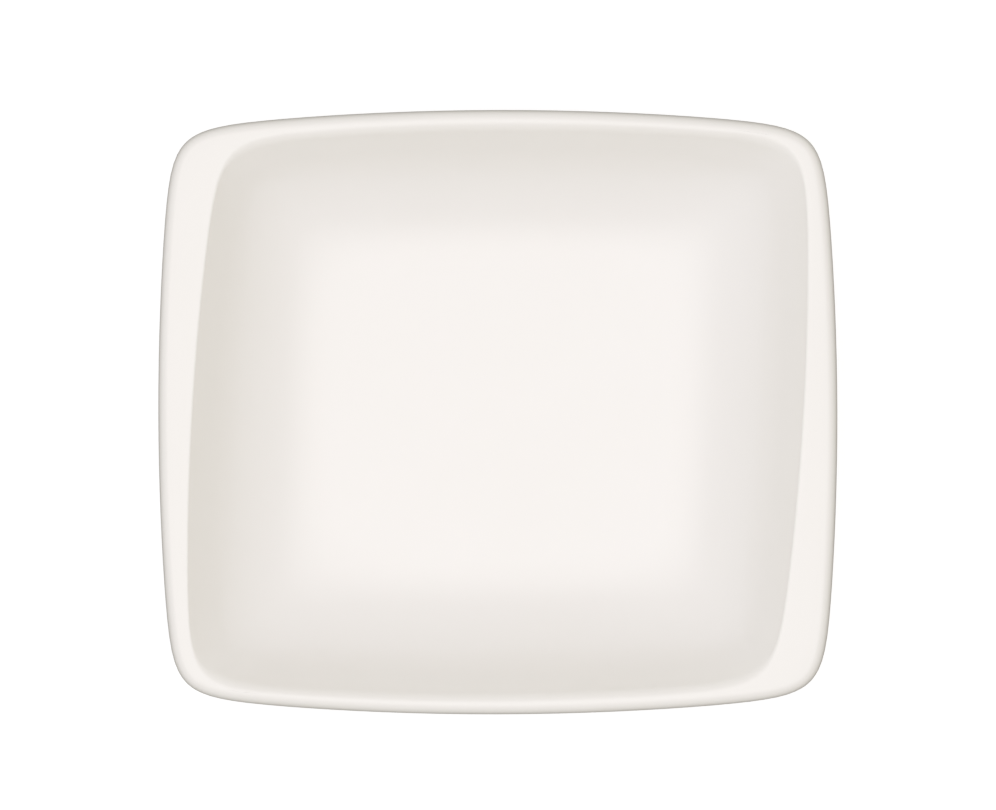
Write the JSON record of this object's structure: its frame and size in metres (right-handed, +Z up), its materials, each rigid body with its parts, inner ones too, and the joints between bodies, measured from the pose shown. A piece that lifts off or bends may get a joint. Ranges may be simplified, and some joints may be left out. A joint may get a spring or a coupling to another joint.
{
  "type": "deep plate",
  "caption": "Deep plate in ivory glazed porcelain: a bowed rectangle with tapered flat wings, a deep well set slightly askew and a bare foot ring, for serving soup, pasta or salad.",
  "frame": {"origin": "middle of the plane that the foot ring stands on, under the centre of the rim's outline", "axes": "+X along the longer edges, from wing to wing; +Y along the shorter edges; +Z up, out of the well"},
  "size_m": [0.2, 0.178, 0.036],
  "materials": {
    "bare_porcelain": "matte",
    "ivory_glaze": "polished"
  },
  "bodies": {
    "root": {"porcelain_body": "bare_porcelain", "main_glaze": "ivory_glaze", "recess_glaze": "ivory_glaze"}
  },
  "joints": []
}
